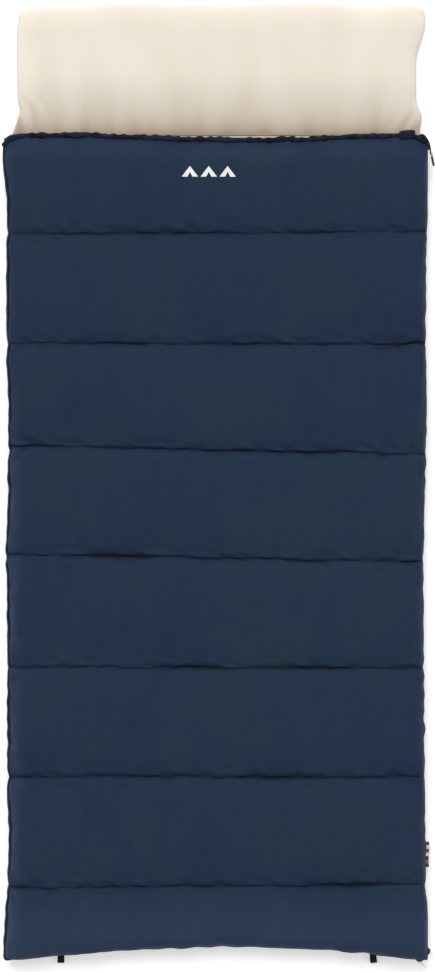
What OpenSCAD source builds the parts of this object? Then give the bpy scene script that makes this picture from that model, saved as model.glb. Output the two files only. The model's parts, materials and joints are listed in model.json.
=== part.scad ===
// Rectangular sleeping bag with a padded head section, lying closed and flat.
// Origin: middle of the bag's underside. +Y points to the head, +X to the zipped side, +Z up.
// All sizes are in millimetres.

/* [Bag] */
// Width over the two long edges
bag_w = 1040; // [900:5:1100]
// Where the foot edge lies, below the origin
foot_y = 1160; // [1050:5:1200]
// Where the cover's neck edge lies, above the origin
neck_y = 846; // [780:2:880]
// Distance between two quilting seams
seam_pitch = 266.4; // [240:0.2:280]
// Width of the cover's last panel, between its neck edge and the first seam
neck_panel = 232; // [200:2:260]

/* [Quilts] */
// Height of one padded layer in the middle of a panel
loft = 34; // [28:1:40]
// Height of one padded layer at a quilting seam
seam_loft = 11; // [8:1:16]
// Free height between the two linings
sleeper_gap = 10; // [9:1:14]
// Thickness of the outer fabric with its backing
shell_t = 1.2; // [1:0.1:2]
// Thickness of the lining fabric
lining_t = 0.8; // [0.6:0.1:1.2]

/* [Head section] */
// Length of the padded head section
head_len = 322; // [280:2:340]
// Width of the padded head section
head_w = 986; // [940:2:1000]
// Height of the head section at its crown
head_loft = 40; // [36:1:44]

/* [Zips] */
// Width of one zip tape
tape_w = 10; // [8:0.5:11]
// Width of one coil
coil_w = 3.7; // [3:0.1:4.5]
// Free width between the two coils, where the slider's web runs
coil_gap = 1.4; // [1.2:0.1:1.8]
// Length of a slider
slider_len = 18; // [16:1:20]

/* [Loops and labels] */
// Width of the webbing of a hanging loop
loop_w = 17; // [15:1:20]
// Distance between the two hanging loops
loop_span = 768; // [600:2:820]

/* [Hidden] */

navy = [0.16, 0.20, 0.29];
cream = [0.93, 0.88, 0.80];
black = [0.06, 0.06, 0.07];
steel = [0.62, 0.63, 0.65];

// Levels of the two layers.
cover_z = loft + sleeper_gap;          // underside of the cover's lining
mid_z = loft + sleeper_gap / 2;        // height of the zips and of the fold
left_x = -bag_w / 2;                   // outer face of both layers on the folded side
fit = 0.3;                             // free space between two neighbouring solids
facets = 48;

// Seams run across the bag, counted from the neck.
seam_count = 7;
first_seam = neck_y - neck_panel;
function seam_y(k) = first_seam - k * seam_pitch;

// The long and short outlines of a layer: how far its rounded edges reach in.
edge_round = 26;
zip_margin = 8;                        // how far the layers stop short of the zipped edge
hem_r = 5.5;                           // radius of the rolled hem on the cover's neck edge
cover_neck = neck_y - 2 * hem_r - fit; // the cover's padding stops short of its hem
base_neck = neck_y;

// Height of a padded layer above its flat side at y: a row of bumps, one to each panel.
panel_steps = 7;
bump_power = 0.62;                     // below 1, a bump rises fast and is broad on top
function bump_z(u) = seam_loft + (loft - seam_loft) * pow(sin(180 * u), bump_power);
function panel_top(ya, yb) = [
    for (i = [0 : panel_steps - 1])
        let (u = i / panel_steps)
            [ya + (yb - ya) * u, bump_z(u)]
];

// Ends of all panels, from the foot to the neck.
function panel_ends(foot, neck) = concat([foot], [for (k = [seam_count - 1 : -1 : 0]) seam_y(k)], [neck]);

// A layer's long section in Y and Z, with its flat side at 0, taken in by side, under and over.
module long_section(foot, neck, side, under, over) {
    ends = panel_ends(foot, neck);
    tops = [for (k = [0 : len(ends) - 2]) each panel_top(ends[k], ends[k + 1])];
    intersection() {
        polygon(concat(
            [[neck, under], [foot, under]],
            [for (p = tops) [p[0], p[1] - over]],
            [[neck, seam_loft - over]]
        ));
        translate([foot + side, under]) square([neck - foot - 2 * side, 2 * loft]);
    }
}

// A layer's cross section in X and Z. It's upright on the folded side, up to the fold, and rounded
// on the zipped side. flip stands for the cover, whose upright edge starts at its flat side.
module cross_section(side, under, over, flip) {
    r = -left_x - zip_margin - side;
    l = left_x + side;
    low = under;
    high = loft - over;
    middle = loft / 2;
    if (flip)
        polygon([
            [l, low], [l, 0.35 * loft], [l + 5, 0.65 * loft], [l + 14, 0.9 * loft], [l + edge_round, high],
            [r - 16, high], [r - 4, 0.8 * loft], [r, middle], [r - 3, 0.2 * loft], [r - 12, low]
        ]);
    else
        polygon([
            [l, high], [l, 0.65 * loft], [l + 5, 0.35 * loft], [l + 14, 0.1 * loft + under],
            [l + edge_round, low], [r - 16, low], [r - 4, 0.2 * loft + under], [r, middle],
            [r - 3, 0.8 * loft], [r - 12, high]
        ]);
}

// One padded layer, with its flat side on z = 0.
module layer(foot, neck, side, under, over, flip) {
    intersection() {
        rotate([90, 0, 90]) translate([0, 0, -bag_w]) linear_extrude(2 * bag_w)
            long_section(foot, neck, side, under, over);
        rotate([90, 0, 0]) translate([0, 0, -2 * foot_y]) linear_extrude(4 * foot_y)
            cross_section(side, under, over, flip);
    }
}

// ---- The bottom layer: outer fabric below, padding, lining above ----
module base_shell() {
    color(navy) difference() {
        layer(-foot_y, base_neck, 0, 0, 0, false);
        layer(-foot_y, base_neck, shell_t, shell_t, -2, false);
    }
}

module base_fill() {
    color("white") layer(-foot_y, base_neck, shell_t + fit, shell_t + fit, lining_t + fit, false);
}

module base_lining() {
    color(cream) difference() {
        layer(-foot_y, base_neck, shell_t + fit, shell_t + fit, 0, false);
        translate([0, 0, -lining_t]) layer(-foot_y, base_neck, 0, -2, 0, false);
    }
}

// ---- The cover: lining below, padding, outer fabric above ----
module cover_shell() {
    color(navy) translate([0, 0, cover_z]) difference() {
        layer(-foot_y, cover_neck, 0, 0, 0, true);
        layer(-foot_y, cover_neck, shell_t, -2, shell_t, true);
    }
}

module cover_fill() {
    color("white") translate([0, 0, cover_z])
        layer(-foot_y, cover_neck, shell_t + fit, lining_t + fit, shell_t + fit, true);
}

module cover_lining() {
    inset = shell_t + fit;
    right = -left_x - zip_margin - 12;
    color(cream) translate([left_x + inset, -foot_y + inset, cover_z])
        cube([right - left_x - 2 * inset, foot_y + cover_neck - 2 * inset, lining_t]);
}

// ---- The fold on the long side without a zip: the outer fabric runs from one layer to the other ----
module side_fold() {
    half_height = 17;
    reach = 3.7;                       // how far the fold stands out from the layers
    wall = 4;                          // its thickness above and below, thinner at its outer side
    end_gap = 30;
    color(navy) translate([left_x - fit, -foot_y + end_gap, mid_z]) rotate([-90, 0, 0])
        linear_extrude(foot_y + neck_y - 2 * end_gap) intersection() {
            scale([reach / half_height, 1]) difference() {
                circle(r = half_height, $fn = facets);
                circle(r = half_height - wall, $fn = facets);
            }
            translate([-half_height, -half_height]) square([half_height, 2 * half_height]);
        }
}

// ---- A flat padded tube that lies behind the side zip and keeps draughts out ----
module draft_tube() {
    tube_h = sleeper_gap - 1.4;
    tube_w = 34;
    x = -left_x - 60;
    foot_gap = 60;
    neck_gap = 30;
    color(cream) translate([x, -foot_y + foot_gap, loft + 0.5]) rotate([-90, 0, 0])
        linear_extrude(foot_y + neck_y - foot_gap - neck_gap) union() {
            translate([0, -tube_h]) square([tube_w, tube_h]);
            translate([tube_w, -tube_h / 2]) circle(d = tube_h, $fn = facets);
            translate([0, -tube_h / 2]) circle(d = tube_h, $fn = facets);
        }
}

// ---- Zips ----
tape_t = 0.8;
coil_t = 3.4;
stop_len = 4;
side_zip_x = -left_x - 5;              // plane of the side zip
foot_zip_y = -foot_y - 5;              // plane of the foot zip
neck_slider_y = 823;                   // the side zip's upper slider, closed
corner_slider_y = -foot_y + 14;        // the side zip's lower slider, closed
foot_slider_x = 496;                   // the foot zip's slider, closed
foot_zip_left = -496;                  // far end of the foot zip
half_slider = slider_len / 2;
park = 72;                             // room for a parked slider with its hanging pull, at each end

// A strip of a zip along +Y from ya to yb, standing up from lo to hi about the chain's middle, t thick.
module zip_strip(ya, yb, lo, hi, t) {
    translate([-t / 2, ya, lo]) cube([t, yb - ya, hi - lo]);
}

// Turns a strip drawn along the side zip into one along the foot zip: +Y becomes +X, +X becomes -Y.
module at_side() { translate([side_zip_x, 0, mid_z]) children(); }
module at_foot() { translate([0, foot_zip_y, mid_z]) rotate([0, 0, -90]) children(); }

coil_low = coil_gap / 2;
// Free ends of the coils. An upper coil stops clear of every parked slider, so the cover can lift off.
side_coil_foot = corner_slider_y + half_slider + fit;
side_coil_neck = neck_slider_y - half_slider - fit;
upper_side_foot = corner_slider_y + park;
upper_side_neck = neck_slider_y - park;
foot_coil_right = foot_slider_x - half_slider - fit;
upper_foot_left = foot_zip_left + slider_len + 12;

module coil_pair_part(ya, yb, up) {
    mirror([0, 0, up ? 0 : 1]) zip_strip(ya, yb, coil_low, coil_low + coil_w, coil_t);
}

// The tape has a slot where the coil is sewn round its edge, so the two only touch.
module tape_part(ya, yb, up) {
    low = coil_low + coil_w + 0.05;
    high = coil_low + coil_w + tape_w;
    mirror([0, 0, up ? 0 : 1]) zip_strip(ya, yb, low, high, tape_t);
}

module stops_part(positions, up) {
    for (y = positions)
        mirror([0, 0, up ? 0 : 1]) zip_strip(y, y + stop_len, coil_low, coil_low + coil_w, coil_t - 0.6);
}

side_tape_ends = [-foot_y + 0.5, neck_y - 2];
foot_tape_ends = [foot_zip_left - 12, foot_slider_x + half_slider + 5];
side_stops = [corner_slider_y - half_slider - stop_len - fit, neck_slider_y + half_slider + fit];
foot_stops = [foot_zip_left - stop_len - fit, foot_slider_x + half_slider + fit];

module side_tape_lower() { color(black) at_side() tape_part(side_tape_ends[0], side_tape_ends[1], false); }
module side_tape_upper() { color(black) at_side() tape_part(side_tape_ends[0], side_tape_ends[1], true); }
module side_coil_lower() { color(black) at_side() coil_pair_part(side_coil_foot, side_coil_neck, false); }
module side_coil_upper() { color(black) at_side() coil_pair_part(upper_side_foot, upper_side_neck, true); }
module side_stops_lower() { color(black) at_side() stops_part([side_stops[1]], false); }
module side_stops_upper() { color(black) at_side() stops_part(side_stops, true); }
module foot_tape_lower() { color(black) at_foot() tape_part(foot_tape_ends[0], foot_tape_ends[1], false); }
module foot_tape_upper() { color(black) at_foot() tape_part(foot_tape_ends[0], foot_tape_ends[1], true); }
module foot_coil_lower() { color(black) at_foot() coil_pair_part(foot_zip_left, foot_coil_right, false); }
module foot_coil_upper() { color(black) at_foot() coil_pair_part(upper_foot_left, foot_coil_right, true); }
module foot_stops_lower() { color(black) at_foot() stops_part(foot_stops, false); }
module foot_stops_upper() { color(black) at_foot() stops_part(foot_stops, true); }

// ---- Sliders and their pulls, drawn at the chain's middle: travel along Y, outside towards +X ----
plate_t = 1.4;
plate_in = coil_t / 2 + 0.6;           // inner face of each plate
slider_half_w = 6.6;
flange_w = 1.2;
slot_half = 1.0;                       // half of the slot that the tape runs in
pivot_x = plate_in + plate_t + 2.1;    // axis of the pull tab
bar_r = 1.0;
bail_w = 2.4;

module slider_plate() {
    rotate([90, 0, 90]) linear_extrude(plate_t) polygon([
        [-half_slider, -slider_half_w + 1.6], [-half_slider + 2, -slider_half_w],
        [half_slider - 3, -slider_half_w], [half_slider, -slider_half_w + 3],
        [half_slider, slider_half_w - 3], [half_slider - 3, slider_half_w],
        [-half_slider + 2, slider_half_w], [-half_slider, slider_half_w - 1.6]
    ]);
}

module slider_flange() {
    flange_len = slider_len - 5;
    translate([slot_half, 2 - half_slider, slider_half_w - flange_w])
        cube([plate_in - slot_half, flange_len, flange_w]);
}

module slider_bail() {
    rise = 4.2;
    difference() {
        translate([plate_in + plate_t, 0, 0]) union() {
            translate([0, -5.5, -bail_w / 2]) cube([rise - 1.6, 11, bail_w]);
            translate([0, -3.9, -bail_w / 2]) cube([rise, 7.8, bail_w]);
        }
        translate([pivot_x, 0, -bail_w]) cylinder(r = bar_r + fit, h = 2 * bail_w, $fn = facets);
    }
}

module slider_body() {
    web_t = coil_gap - 0.4;
    color(steel) union() {
        translate([plate_in, 0, 0]) slider_plate();
        translate([-plate_in - plate_t, 0, 0]) slider_plate();
        for (a = [0, 1], b = [0, 1]) mirror([a, 0, 0]) mirror([0, 0, b]) slider_flange();
        translate([-plate_in - 0.2, half_slider - 4.5, -web_t / 2]) cube([2 * plate_in + 0.4, 4, web_t]);
        slider_bail();
    }
}

// A pull tab that points along +Y from its pivot. The bar runs through the slider's bail.
tab_len = 22;
tab_w = 7.6;
tab_t = 1.5;
leg_w = 1.9;
eye_len = 7;
grip_hole = 1.7;
grip_y = tab_len - 4;                  // where the hole for a grip is
module pull_tab() {
    color(steel) union() {
        translate([0, 0, -tab_w / 2]) cylinder(r = bar_r, h = tab_w, $fn = facets);
        for (s = [0, 1])
            mirror([0, 0, s]) translate([-tab_t / 2, 0, tab_w / 2 - leg_w]) cube([tab_t, eye_len, leg_w]);
        difference() {
            translate([-tab_t / 2, eye_len - 0.1, -tab_w / 2]) cube([tab_t, tab_len - eye_len, tab_w]);
            translate([-tab_t, grip_y, 0]) rotate([0, 90, 0])
                cylinder(r = grip_hole, h = 2 * tab_t, $fn = facets);
        }
    }
}

// A moulded grip that hangs on the neck slider's tab: an eye through the tab's hole, then a flat bar.
module pull_grip() {
    eye_r = 1.3;
    cheek_t = 1.4;                     // thickness of the two cheeks beside the tab
    half_t = tab_t / 2 + fit + cheek_t;
    bar_len = 24;
    bar_w = 6;
    color(black) union() {
        translate([-3, grip_y, 0]) rotate([0, 90, 0]) cylinder(r = eye_r, h = 6, $fn = facets);
        for (s = [0, 1])
            mirror([s, 0, 0]) translate([half_t - cheek_t, grip_y - eye_r, -eye_r])
                cube([cheek_t, 8, 2 * eye_r]);
        translate([-half_t, tab_len + 1.5, -bar_w / 2]) cube([2 * half_t, bar_len, bar_w]);
    }
}

// Angle of each pull at rest, from its slider's front towards the outside.
neck_pull_rest = 168;
corner_pull_rest = 25;
foot_pull_rest = 45;

module at_neck_slider() { translate([side_zip_x, neck_slider_y, mid_z]) children(); }
module at_corner_slider() {
    translate([side_zip_x, corner_slider_y, mid_z]) rotate([180, 0, 0]) children();
}
module at_foot_slider() { translate([foot_slider_x, foot_zip_y, mid_z]) rotate([0, 0, -90]) children(); }
module on_pivot(angle) { translate([pivot_x, 0, 0]) rotate([0, 0, -angle]) children(); }

module neck_slider() { at_neck_slider() slider_body(); }
module corner_slider() { at_corner_slider() slider_body(); }
module foot_slider() { at_foot_slider() slider_body(); }
module neck_pull_tab() { at_neck_slider() on_pivot(neck_pull_rest) pull_tab(); }
module neck_pull_grip() { at_neck_slider() on_pivot(neck_pull_rest) pull_grip(); }
module corner_pull_tab() { at_corner_slider() on_pivot(corner_pull_rest) pull_tab(); }
module foot_pull_tab() { at_foot_slider() on_pivot(foot_pull_rest) pull_tab(); }

// ---- Head section: a padded cushion sewn to the bottom layer at the neck ----
neck_seam_y = neck_y + 4;              // the head section folds up about this line
neck_seam_z = seam_loft + 1;
head_foot = neck_seam_y + 3;
head_x = -head_w / 2 + 2;
head_round = 26;                       // radius of its two free corners
module head_outline(inset) {
    r = head_round;
    x0 = head_x + inset;
    y0 = head_foot + inset;
    w = head_w - 2 * inset;
    l = head_len - 2 * inset;
    union() {
        translate([x0, y0]) square([w, l - r]);
        translate([x0 + r, y0]) square([w - 2 * r, l]);
        for (x = [x0 + r, x0 + w - r]) translate([x, y0 + l - r]) circle(r = r, $fn = facets);
    }
}

// Crowned section: flat below, domed above, thin at both ends. It's taken in by under and over.
module head_dome(length, height, under, over) {
    n = 12;
    edge = 0.3 * head_loft;
    polygon(concat(
        [[length, under], [0, under]],
        [for (i = [0 : n]) [length * i / n, edge + (height - edge) * pow(sin(180 * i / n), 0.55) - over]]
    ));
}

module head_block(inset, under, over) {
    side_height = 1.5 * head_loft;
    intersection() {
        linear_extrude(2 * side_height) head_outline(inset);
        translate([-bag_w, head_foot, 0]) rotate([90, 0, 90]) linear_extrude(2 * bag_w)
            head_dome(head_len, head_loft, under, over);
        translate([head_x, 2 * foot_y, 0]) rotate([90, 0, 0]) linear_extrude(4 * foot_y)
            head_dome(head_w, side_height, under, over);
    }
}

module head_shell() {
    color(navy) difference() {
        head_block(0, 0, 0);
        head_block(shell_t, shell_t, -4);
    }
}

module head_fill() {
    color("white") head_block(shell_t + fit, shell_t + fit, lining_t + fit);
}

module head_lining() {
    color(cream) difference() {
        head_block(shell_t + fit, shell_t + fit, 0);
        translate([0, 0, -lining_t]) head_block(0, -2, 0);
    }
}

// The rolled seam between the head section and the bottom layer.
module neck_seam() {
    color(cream) translate([head_x + 20, neck_seam_y, neck_seam_z]) rotate([0, 90, 0])
        cylinder(r = 1.6, h = head_w - 40, $fn = facets);
}

// ---- Trim on the cover ----
module neck_hem() {
    color(navy) translate([left_x + 12, neck_y - hem_r, cover_z + hem_r + 1]) rotate([0, 90, 0])
        difference() {
            cylinder(r = hem_r, h = bag_w - 34, $fn = facets);
            translate([0, 0, -1]) cylinder(r = hem_r - 2, h = bag_w, $fn = facets);
        }
}

// A short tab on the neck edge that closes over the end of the side zip.
module closure_tab() {
    tab_size = [40, 17, 2.4];
    color(black) translate([side_zip_x - 71, neck_y - 8, cover_z + 2 * hem_r + 1.4]) cube(tab_size);
}

// A row of three plain tents printed on the cover.
motif_h = 26;
motif_w = 40;                          // width of one tent
motif_step = 46;
motif_x = -86;
motif_y = neck_y - 100;
module tent() {
    door_w = 12;
    door_h = 12;
    middle = motif_w / 2;
    difference() {
        polygon([[0, 0], [motif_w, 0], [middle, motif_h]]);
        polygon([[middle - door_w / 2, -1], [middle + door_w / 2, -1], [middle, door_h]]);
    }
}
module chest_motif() {
    color("white") translate([motif_x, motif_y, cover_z + loft + 0.02]) linear_extrude(0.5)
        for (k = [0 : 2]) translate([k * motif_step, 0]) tent();
}

// ---- Trim on the bottom layer ----
label_len = 62;
label_reach = 14;                      // how far the label stands out
label_t = 1.4;
label_y = 218 - foot_y;
module side_label() {
    color("firebrick") translate([-left_x - zip_margin + fit, label_y, (loft - label_t) / 2])
        cube([label_reach, label_len, label_t]);
}

// ---- Webbing loops at the foot, for hanging the bag up ----
web_t = 1.6;
loop_z = 6;
loop_len = 16;
loop_h = 11;
loop_neck = 2.4;                       // half the height of a loop where it's sewn in
loop_axis_y = -foot_y - 6;
module loop_anchor() {
    clear = loop_neck + 0.4;
    reach = -foot_y - fit - loop_axis_y - clear;
    translate([-loop_w / 2, loop_axis_y + clear, loop_z - web_t]) cube([loop_w, reach, 2 * web_t]);
}

module loop_anchors() {
    color(black) for (s = [-1, 1]) translate([s * loop_span / 2, 0, 0]) loop_anchor();
}

module hanging_loop() {
    r = loop_h / 2;
    bend = r - loop_len;
    color(black) translate([-loop_w / 2, loop_axis_y, loop_z]) rotate([90, 0, 90]) linear_extrude(loop_w)
        difference() {
            union() {
                translate([bend, 0]) circle(r = r, $fn = facets);
                polygon([
                    [bend, -r], [-4, -r + 0.6], [0, -loop_neck],
                    [0, loop_neck], [-4, r - 0.6], [bend, r]
                ]);
            }
            translate([bend, 0]) circle(r = r - web_t, $fn = facets);
            polygon([
                [bend, -r + web_t], [-4.4, -r + web_t + 0.5], [-web_t, -1],
                [-web_t, 1], [-4.4, r - web_t - 0.5], [bend, r - web_t]
            ]);
        }
}

module hanging_loop_left() { translate([-loop_span / 2, 0, 0]) hanging_loop(); }
module hanging_loop_right() { translate([loop_span / 2, 0, 0]) hanging_loop(); }

base_shell();
base_fill();
base_lining();
side_fold();
draft_tube();
side_tape_lower();
side_coil_lower();
side_stops_lower();
foot_tape_lower();
foot_coil_lower();
foot_stops_lower();
loop_anchors();
side_label();
head_shell();
head_fill();
head_lining();
neck_seam();
cover_shell();
cover_fill();
cover_lining();
neck_hem();
closure_tab();
chest_motif();
side_tape_upper();
side_coil_upper();
side_stops_upper();
foot_tape_upper();
foot_coil_upper();
foot_stops_upper();
neck_slider();
neck_pull_tab();
neck_pull_grip();
corner_slider();
corner_pull_tab();
foot_slider();
foot_pull_tab();
hanging_loop_left();
hanging_loop_right();
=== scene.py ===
# %% [markdown]
# # A rectangular sleeping bag
# The bag lies closed on a pale floor, its head end up. Two padded layers are joined by a fold on the
# left and by a zip on the right and round the foot, and a padded head section is sewn to the bottom
# layer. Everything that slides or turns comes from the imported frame. This script gives it cloth,
# padding, stitches and zip teeth.

# %% Load the frame
import json
import math

import bpy
import numpy as np
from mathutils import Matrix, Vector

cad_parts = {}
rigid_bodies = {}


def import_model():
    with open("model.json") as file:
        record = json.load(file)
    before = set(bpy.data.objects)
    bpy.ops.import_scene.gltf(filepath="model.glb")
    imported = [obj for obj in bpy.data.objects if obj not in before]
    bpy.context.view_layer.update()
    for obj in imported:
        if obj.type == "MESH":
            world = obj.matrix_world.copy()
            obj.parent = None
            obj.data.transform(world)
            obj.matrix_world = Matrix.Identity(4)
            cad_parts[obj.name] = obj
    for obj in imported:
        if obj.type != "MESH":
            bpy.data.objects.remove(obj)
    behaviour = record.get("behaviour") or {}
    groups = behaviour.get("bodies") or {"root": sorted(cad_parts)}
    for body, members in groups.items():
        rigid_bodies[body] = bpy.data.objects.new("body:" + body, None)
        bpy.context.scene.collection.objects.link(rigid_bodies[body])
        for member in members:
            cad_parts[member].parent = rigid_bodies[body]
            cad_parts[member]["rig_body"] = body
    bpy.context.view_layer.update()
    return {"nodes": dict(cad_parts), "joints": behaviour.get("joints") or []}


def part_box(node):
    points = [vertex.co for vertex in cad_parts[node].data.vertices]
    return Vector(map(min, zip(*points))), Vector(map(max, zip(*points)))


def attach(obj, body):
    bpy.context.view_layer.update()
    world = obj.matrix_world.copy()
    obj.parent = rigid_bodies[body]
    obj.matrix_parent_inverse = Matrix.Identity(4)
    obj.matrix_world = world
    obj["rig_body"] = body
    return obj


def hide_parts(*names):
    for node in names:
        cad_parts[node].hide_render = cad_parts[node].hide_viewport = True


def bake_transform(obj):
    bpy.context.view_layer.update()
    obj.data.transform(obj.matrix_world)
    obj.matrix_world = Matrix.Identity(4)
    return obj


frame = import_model()

# %% [markdown]
# ## Places taken from the frame
# Every length below is in metres. The zips' planes, the fold's axis and the layers' heights are read
# from the frame, so that a piece made here meets the slider, hinge or loop that it belongs to.

# %% Measure the frame
cover_low, cover_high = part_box("cover_shell")
base_low, base_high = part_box("base_shell")
head_low, head_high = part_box("head_shell")
side_tape_low, side_tape_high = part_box("side_tape_lower")
foot_tape_low, foot_tape_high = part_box("foot_tape_lower")
joint = {j["name"]: j for j in frame["joints"]}
fold_x, _, zip_z = joint["cover_open"]["pos_m"]
_, neck_seam_y, neck_seam_z = joint["head_fold"]["pos_m"]
side_zip_x = (side_tape_low.x + side_tape_high.x) / 2
foot_zip_y = (foot_tape_low.y + foot_tape_high.y) / 2
lining_top_z = base_high.z
lining_under_z = cover_low.z
neck_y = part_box("neck_hem")[1].y
foot_y = base_low.y
print(f"zips at x = {side_zip_x:.3f} and y = {foot_zip_y:.3f}, {zip_z * 1000:.0f} mm up")

# %% [markdown]
# ## Camera, light and floor
# The bag is looked at from straight above, through a long lens from far away, so that it shows hardly
# any perspective. A bright sky on all sides and one very soft sun from the head end light it, as in a
# light tent. The floor is near white and takes the shadow where the bag touches it.

# %% Camera
picture_height = 2.3795
picture_centre = (0.0012, -0.0073)
picture_rows = 972
lens_mm = 100
sensor_mm = 36
camera_data = bpy.data.cameras.new("camera")
camera_data.lens = lens_mm
camera_data.sensor_width = sensor_mm
camera = bpy.data.objects.new("camera", camera_data)
bpy.context.scene.collection.objects.link(camera)
camera_distance = picture_height * lens_mm / sensor_mm
camera.location = (*picture_centre, zip_z + camera_distance)
bpy.context.scene.camera = camera
print(f"camera {camera.location.z:.2f} m up, {picture_height / picture_rows * 1000:.2f} mm to a dot")

# %% Light and floor
bpy.context.scene.view_settings.view_transform = "Standard"
world = bpy.data.worlds.new("light_tent")
bpy.context.scene.world = world
world.use_nodes = True
world.node_tree.nodes["Background"].inputs["Color"].default_value = (1.0, 1.0, 1.0, 1.0)
world.node_tree.nodes["Background"].inputs["Strength"].default_value = 0.62

sun_data = bpy.data.lights.new("soft_sun", "SUN")
sun_data.energy = 1.75
sun_data.angle = math.radians(40)
sun = bpy.data.objects.new("soft_sun", sun_data)
sun.rotation_euler = (math.radians(-40), math.radians(-8), 0)
bpy.context.scene.collection.objects.link(sun)

floor_size = 30
floor_mesh = bpy.data.meshes.new("floor")
corners = floor_size / 2 * np.array([[-1, -1, 0], [1, -1, 0], [1, 1, 0], [-1, 1, 0]])
floor_mesh.from_pydata(corners.tolist(), [], [[0, 1, 2, 3]])
floor = bpy.data.objects.new("floor", floor_mesh)
floor.location.z = -0.0005
bpy.context.scene.collection.objects.link(floor)
floor_paint = bpy.data.materials.new("floor_paint")
floor_paint.use_nodes = True
floor_paint.node_tree.nodes["Principled BSDF"].inputs["Base Color"].default_value = (0.93, 0.93, 0.93, 1)
floor_paint.node_tree.nodes["Principled BSDF"].inputs["Roughness"].default_value = 0.9
floor_paint.node_tree.nodes["Principled BSDF"].inputs["Emission Color"].default_value = (1, 1, 1, 1)
floor_paint.node_tree.nodes["Principled BSDF"].inputs["Emission Strength"].default_value = 0.30
floor_mesh.materials.append(floor_paint)

# %% [markdown]
# ## Tools for surfaces
# Cloth here is always a grid of points. One helper turns a grid into a mesh, one joins an upper and a
# lower skin into a closed pad, and one draws smooth irregular waves from a fixed seed, so that each run
# gives the same cloth.

# %% Grid helpers
def make_piece(name, points, faces, *materials):
    """A smooth-shaded mesh object at the origin, with its place in its points."""
    mesh = bpy.data.meshes.new(name)
    faces = faces.tolist() if isinstance(faces, np.ndarray) else faces
    mesh.from_pydata(np.asarray(points, float).reshape(-1, 3).tolist(), [], faces)
    mesh.polygons.foreach_set("use_smooth", np.ones(len(mesh.polygons), bool))
    for material in materials:
        mesh.materials.append(material)
    piece = bpy.data.objects.new(name, mesh)
    bpy.context.scene.collection.objects.link(piece)
    return piece


def quads(index, around=False):
    """The four-sided faces between the neighbours of a table of point numbers. With around, the last
    column joins the first."""
    if around:
        index = np.concatenate([index, index[:, :1]], axis=1)
    corners = [index[:-1, :-1], index[:-1, 1:], index[1:, 1:], index[1:, :-1]]
    return np.stack(corners, axis=-1).reshape(-1, 4)


def pad(name, x, y, upper, lower, *materials):
    """A closed pad over one grid of x and y. The two skins share the points round the grid's edge."""
    index = np.arange(x.size).reshape(x.shape)
    inner = np.zeros(x.shape, bool)
    inner[1:-1, 1:-1] = True
    under = index.copy()
    under[inner] = x.size + np.arange(inner.sum())
    points = np.concatenate([
        np.stack([x, y, upper], axis=-1).reshape(-1, 3),
        np.stack([x, y, lower], axis=-1)[inner],
    ])
    return make_piece(name, points, np.concatenate([quads(index), quads(under)[:, ::-1]]), *materials)


def inside(shape):
    """1 inside a grid and 0 on the points round its edge."""
    mask = np.zeros(shape)
    mask[1:-1, 1:-1] = 1
    return mask


def cloth_sheet(name, x, y, z, thickness, *materials):
    """A thin closed cloth over a grid: the same grid twice, a thickness apart, joined round the edge."""
    return pad(name, x, y, z + thickness * inside(z.shape), z, *materials)


def curved_sheet(name, points, thickness, *materials):
    """A thin closed sheet over any grid of points (rows, columns, 3). Its back lies a thickness behind
    its front, square to it. Seen from the front, columns run to the right and rows run up."""
    normal = np.cross(np.gradient(points, axis=1), np.gradient(points, axis=0))
    normal /= np.linalg.norm(normal, axis=-1, keepdims=True) + 1e-12
    shape = points.shape[:2]
    index = np.arange(shape[0] * shape[1]).reshape(shape)
    inner = inside(shape) > 0
    behind = index.copy()
    behind[inner] = index.size + np.arange(inner.sum())
    both = np.concatenate([points.reshape(-1, 3), (points - thickness * normal)[inner]])
    return make_piece(name, both, np.concatenate([quads(index), quads(behind)[:, ::-1]]), *materials)


def swept(name, rings, *materials):
    """A tube through rings of points (rings, points in a ring, 3), closed at both ends. Seen along the
    tube, the points of a ring run anticlockwise."""
    count, sides = rings.shape[:2]
    index = np.arange(count * sides).reshape(count, sides)
    caps = [index[0].tolist(), index[-1, ::-1].tolist()]
    return make_piece(name, rings, quads(index, around=True)[:, ::-1].tolist() + caps, *materials)


def ring_points(centres, across, up, radius_across, radius_up, sides):
    """Rings of points round centres: radius_across along the directions across, radius_up along up."""
    turn = np.linspace(0, 2 * np.pi, sides, endpoint=False)[None, :, None]
    return (centres[:, None] + radius_across * np.cos(turn) * across[:, None]
            + radius_up * np.sin(turn) * up[:, None])


def ripples(x, y, length, seed, count=10):
    """Smooth irregular relief of about -1 to 1: sine waves of about one length, in directions and
    phases drawn from the seed, added up."""
    rng = np.random.default_rng(seed)
    total = np.zeros(np.broadcast(x, y).shape)
    for turn, phase, stretch in rng.uniform([0, 0, 0.7], [2 * np.pi, 2 * np.pi, 1.4], (count, 3)):
        wave = 2 * np.pi / (length * stretch)
        total += np.sin(wave * (x * np.cos(turn) + y * np.sin(turn)) + phase)
    return total / np.sqrt(count)


def paint(piece, name, values):
    """Stores one number at each point of a piece, for its material to read."""
    attribute = piece.data.attributes.new(name, "FLOAT", "POINT")
    full = np.zeros(len(piece.data.vertices), np.float32)
    full[:values.size] = values.ravel()
    attribute.data.foreach_set("value", full)


def soft_step(value, low, high):
    """0 below low, 1 above high, and a smooth curve between."""
    t = np.clip((value - low) / (high - low), 0, 1)
    return t * t * (3 - 2 * t)
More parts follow.
